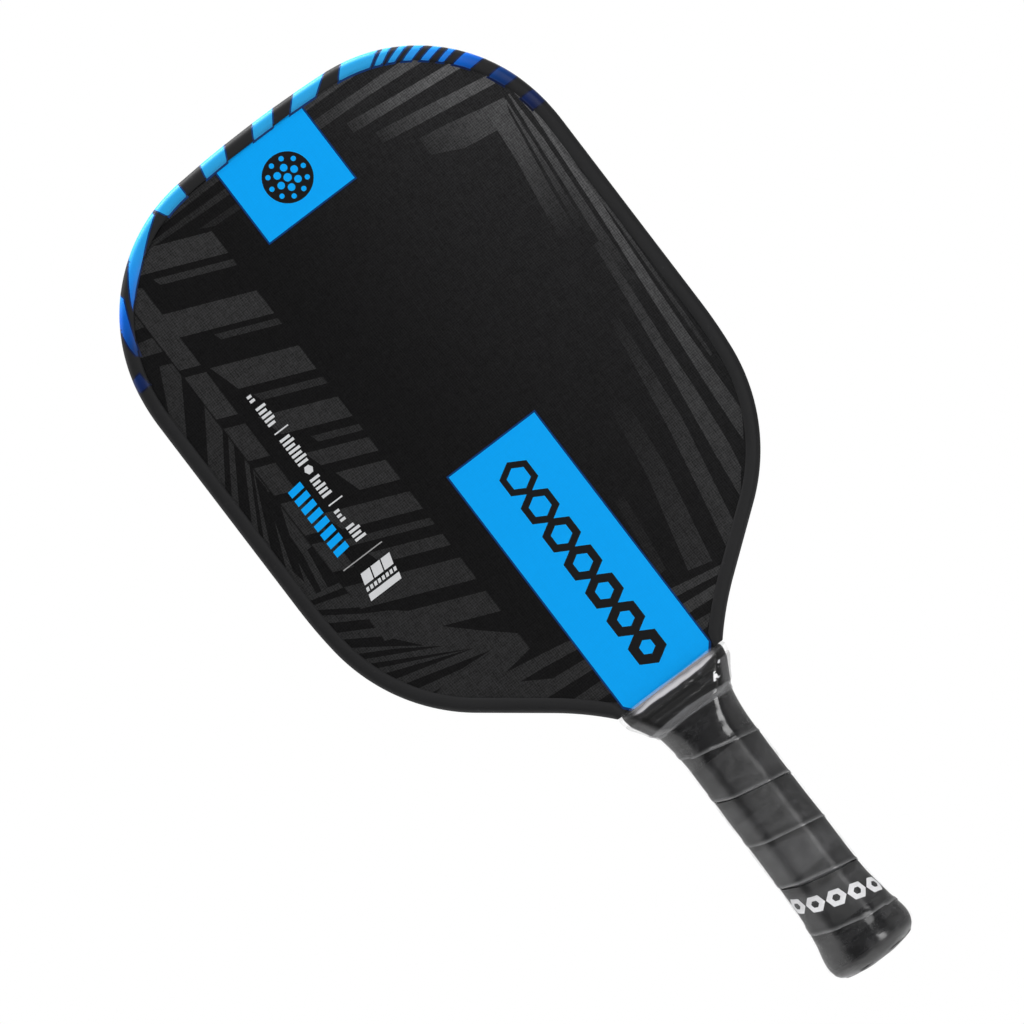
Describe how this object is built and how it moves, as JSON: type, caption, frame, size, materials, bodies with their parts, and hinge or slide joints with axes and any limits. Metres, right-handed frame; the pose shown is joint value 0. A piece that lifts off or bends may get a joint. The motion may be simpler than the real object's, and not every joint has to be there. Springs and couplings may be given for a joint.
{
  "type": "pickleball paddle",
  "caption": "Pickleball paddle: squared oval composite head in an edge guard, octagonal wrapped handle with a flared butt, rubber collar and clear grip film.",
  "frame": {"origin": "middle of the small flat on the bottom of the butt cap", "axes": "+Z along the handle from the butt to the crown of the head; +Y out of the back face, so the printed front face looks along -Y; +X to the right seen from the front"},
  "size_m": [0.1984, 0.0344, 0.4089],
  "materials": {
    "core_polypropylene": "translucent white polypropylene honeycomb",
    "face_laminate": "fine peel-ply texture, satin, printed",
    "guard_tpu": "smooth extruded, semi-gloss, printed at the crown",
    "pallet_foam": "moulded structural foam",
    "cap_plastic": "moulded, fine matt",
    "grip_polyurethane": "soft synthetic leather with a fine grain",
    "collar_rubber": "moulded, satin",
    "film_clear": "thin clear glossy wrapping film"
  },
  "bodies": {
    "root": {"honeycomb_core": "core_polypropylene", "front_face_sheet": "face_laminate", "back_face_sheet": "face_laminate", "edge_guard": "guard_tpu", "front_handle_pallet": "pallet_foam", "back_handle_pallet": "pallet_foam", "butt_cap": "cap_plastic", "grip_wrap": "grip_polyurethane", "grip_collar": "collar_rubber", "grip_film": "film_clear"}
  },
  "joints": []
}
